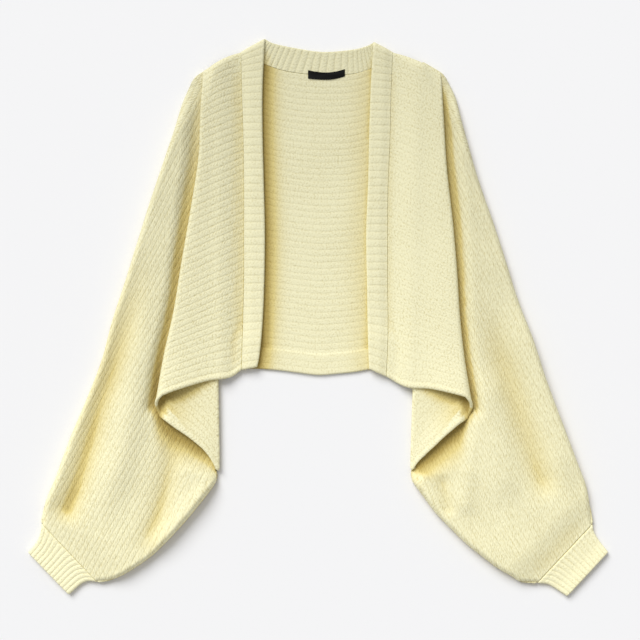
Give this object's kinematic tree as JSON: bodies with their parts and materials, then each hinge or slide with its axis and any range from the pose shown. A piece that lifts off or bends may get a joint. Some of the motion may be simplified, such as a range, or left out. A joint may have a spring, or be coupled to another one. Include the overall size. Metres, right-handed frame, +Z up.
{
  "type": "knitted shrug",
  "caption": "Cropped open-front knitted shrug with batwing sleeves, ribbed cuffs and a ribbed band round the front and neck, laid flat on its back.",
  "frame": {"origin": "on the surface that the shrug lies on, under the middle of its outline", "axes": "+X towards the wearer's left sleeve, +Y up the body towards the neck, +Z up from the surface"},
  "size_m": [0.756, 0.726, 0.0162],
  "materials": {
    "body_knit": "chunky pale lemon cotton-blend knit, horizontal ridges, matt with a soft nap",
    "sleeve_knit": "pale lemon rib knit, ribs running along the sleeve, matt with a soft nap",
    "rib_knit": "pale lemon rib knit with wide rounded ribs, matt",
    "label_satin": "black woven satin label, bare"
  },
  "bodies": {
    "root": {"back_panel": "body_knit", "front_panel_right": "body_knit", "front_panel_left": "body_knit", "sleeve_right": "sleeve_knit", "sleeve_left": "sleeve_knit", "cuff_right": "rib_knit", "cuff_left": "rib_knit", "front_band_right": "rib_knit", "front_band_left": "rib_knit", "neck_band": "rib_knit", "neck_label": "label_satin"}
  },
  "joints": []
}
